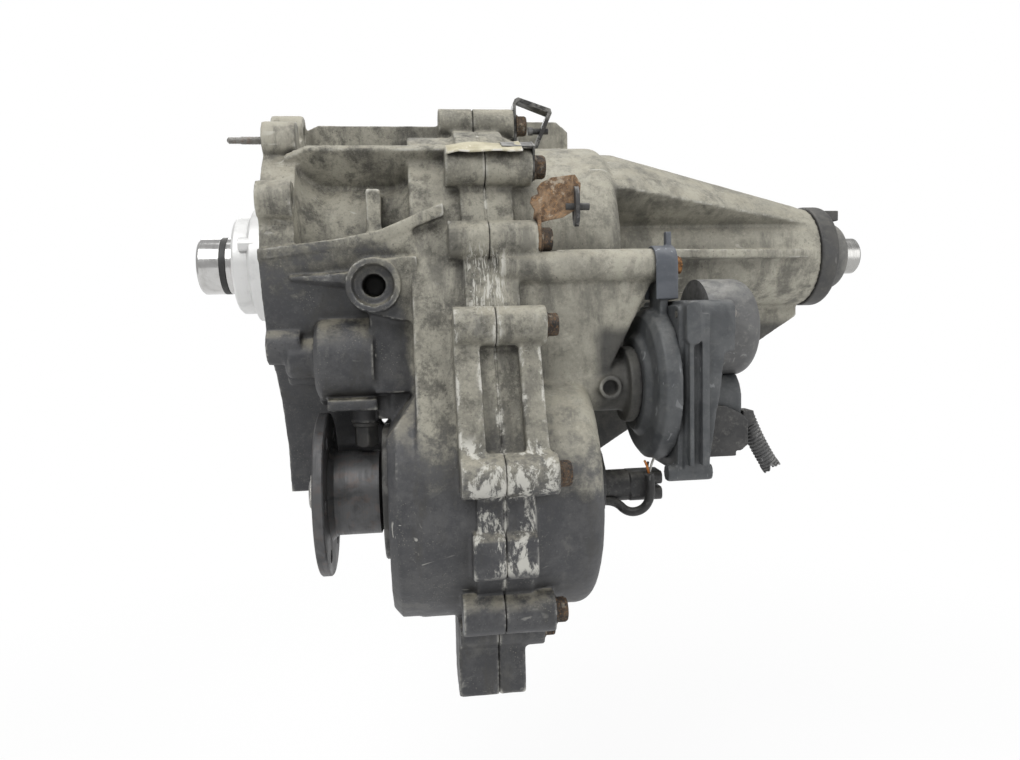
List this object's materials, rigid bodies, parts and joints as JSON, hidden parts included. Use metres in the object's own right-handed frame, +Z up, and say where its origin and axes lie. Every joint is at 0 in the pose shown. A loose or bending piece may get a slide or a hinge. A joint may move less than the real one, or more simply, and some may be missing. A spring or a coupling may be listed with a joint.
{
  "type": "transfer case",
  "caption": "Chain-driven two-speed transfer case: ribbed split casing, planetary set, silent chain, clutch, helical-cam shift, front and rear outputs, bolted-on shift actuator",
  "frame": {"origin": "on the main shaft line, at the front face of the adapter flange", "axes": "+X rearward along the shafts, +Y to the vehicle's right, +Z up"},
  "size_m": [0.56, 0.3138, 0.462],
  "materials": {
    "cast_aluminium": "rough casting, weathered, oily and dusty",
    "machined_aluminium": "clean machined",
    "polished_steel": "polished",
    "shaft_steel": "machined",
    "gear_steel": "oiled, satin",
    "bearing_steel": "ground",
    "fastener_steel": "dull zinc",
    "rusty_fastener": "rust-brown, matte",
    "orange_rust": "orange rust",
    "rusty_sheet": "rusted sheet",
    "black_bracket": "black, worn",
    "dark_pressed_steel": "dark grey, dusty",
    "gunmetal": "gunmetal with a worn rim",
    "bronze": "sintered",
    "seal_rubber": "dusty",
    "black_rubber": "matte",
    "friction_lining": "paper lining",
    "cream_plastic": "dusty",
    "black_plastic": "matte",
    "actuator_grey": "satin, scuffed",
    "motor_can": "matte, dusty",
    "strap_plastic": "satin, slate",
    "conduit_plastic": "ribbed, scuffed"
  },
  "bodies": {
    "case": {"front_case": "cast_aluminium", "rear_case": "cast_aluminium", "input_bearing_retainer": "machined_aluminium", "retainer_bolts": "fastener_steel", "input_seal": "seal_rubber", "input_bearing": "bearing_steel", "adapter_stud": "fastener_steel", "ring_gear": "gear_steel", "main_bearing": "bearing_steel", "oil_pump_housing": "machined_aluminium", "tail_bushing": "bronze", "tail_seal": "seal_rubber", "dust_cover": "dark_pressed_steel", "drive_chain": "gear_steel", "front_output_seal": "seal_rubber", "dust_lip": "dark_pressed_steel", "front_output_bearing": "bearing_steel", "rear_output_bearing": "bearing_steel", "case_bolts": "rusty_fastener", "side_plug": "dark_pressed_steel", "loop_bracket": "black_bracket", "loop_clip": "black_plastic", "tag_bracket": "black_bracket", "cream_tag": "cream_plastic", "sheet_bracket": "rusty_sheet", "sheet_clip": "black_plastic", "actuator_housing": "actuator_grey", "actuator_cover": "actuator_grey", "cover_screws": "fastener_steel", "actuator_motor": "motor_can", "actuator_bolt": "orange_rust", "actuator_strap": "strap_plastic", "actuator_plug": "black_plastic", "actuator_conduit": "conduit_plastic", "output_sensor": "black_plastic", "sensor_lead": "black_rubber"},
    "input_line": {"input_shaft": "polished_steel", "input_o_ring": "black_rubber"},
    "main_line": {"main_shaft": "shaft_steel", "pilot_bearing": "bearing_steel", "drive_sprocket": "gear_steel", "clutch_drum": "shaft_steel", "clutch_hub": "shaft_steel", "clutch_plates": "gear_steel", "friction_plates": "friction_lining", "oil_pump_rotor": "gear_steel"},
    "sleeve": {"range_sleeve": "gear_steel"},
    "carrier": {"planet_carrier": "shaft_steel", "planet_pins": "bearing_steel"},
    "planet_1": {"planet_gear_1": "gear_steel"},
    "planet_2": {"planet_gear_2": "gear_steel"},
    "planet_3": {"planet_gear_3": "gear_steel"},
    "front_line": {"front_output_shaft": "shaft_steel", "driven_sprocket": "gear_steel", "companion_flange": "gunmetal", "flange_nut": "fastener_steel"},
    "shift_slide": {"shift_rail": "polished_steel", "shift_fork": "machined_aluminium", "cam_follower": "gear_steel"},
    "sector": {"shift_sector": "gear_steel"}
  },
  "joints": [
    {"name": "input_spin", "type": "hinge", "parent": "case", "child": "input_line", "pos_m": [0, 0, 0], "axis": [1, 0, 0], "continuous": true},
    {"name": "main_spin", "type": "hinge", "parent": "case", "child": "main_line", "pos_m": [0, 0, 0], "axis": [1, 0, 0], "continuous": true},
    {"name": "carrier_spin", "type": "hinge", "parent": "case", "child": "carrier", "pos_m": [0, 0, 0], "axis": [1, 0, 0], "continuous": true},
    {"name": "planet_1_spin", "type": "hinge", "parent": "carrier", "child": "planet_1", "pos_m": [0, 0.045, 0], "axis": [1, 0, 0], "continuous": true},
    {"name": "planet_2_spin", "type": "hinge", "parent": "carrier", "child": "planet_2", "pos_m": [0, -0.0225, 0.03897], "axis": [1, 0, 0], "continuous": true},
    {"name": "planet_3_spin", "type": "hinge", "parent": "carrier", "child": "planet_3", "pos_m": [0, -0.0225, -0.03897], "axis": [1, 0, 0], "continuous": true},
    {"name": "front_spin", "type": "hinge", "parent": "case", "child": "front_line", "pos_m": [0, -0.0774, -0.17407], "axis": [1, 0, 0], "continuous": true},
    {"name": "sector_turn", "type": "hinge", "parent": "case", "child": "sector", "pos_m": [0, -0.1, -0.098], "axis": [1, 0, 0], "range_deg": [0, 120.6]},
    {"name": "shift_slide", "type": "slide", "parent": "case", "child": "shift_slide", "axis": [1, 0, 0], "range_m": [0, 0.02]},
    {"name": "sleeve_slide", "type": "slide", "parent": "main_line", "child": "sleeve", "axis": [1, 0, 0], "range_m": [0, 0.0201]}
  ],
  "couplings": [
    {"joint": "main_spin", "follows": "input_spin", "ratio": 1},
    {"joint": "carrier_spin", "follows": "input_spin", "ratio": 0.33333},
    {"joint": "front_spin", "follows": "input_spin", "ratio": 1},
    {"joint": "planet_1_spin", "follows": "input_spin", "ratio": -1.3333},
    {"joint": "planet_2_spin", "follows": "input_spin", "ratio": -1.3333},
    {"joint": "planet_3_spin", "follows": "input_spin", "ratio": -1.3333},
    {"joint": "sector_turn", "follows": "shift_slide", "rad_per_m": 104.72},
    {"joint": "sleeve_slide", "follows": "shift_slide", "ratio": 1}
  ]
}
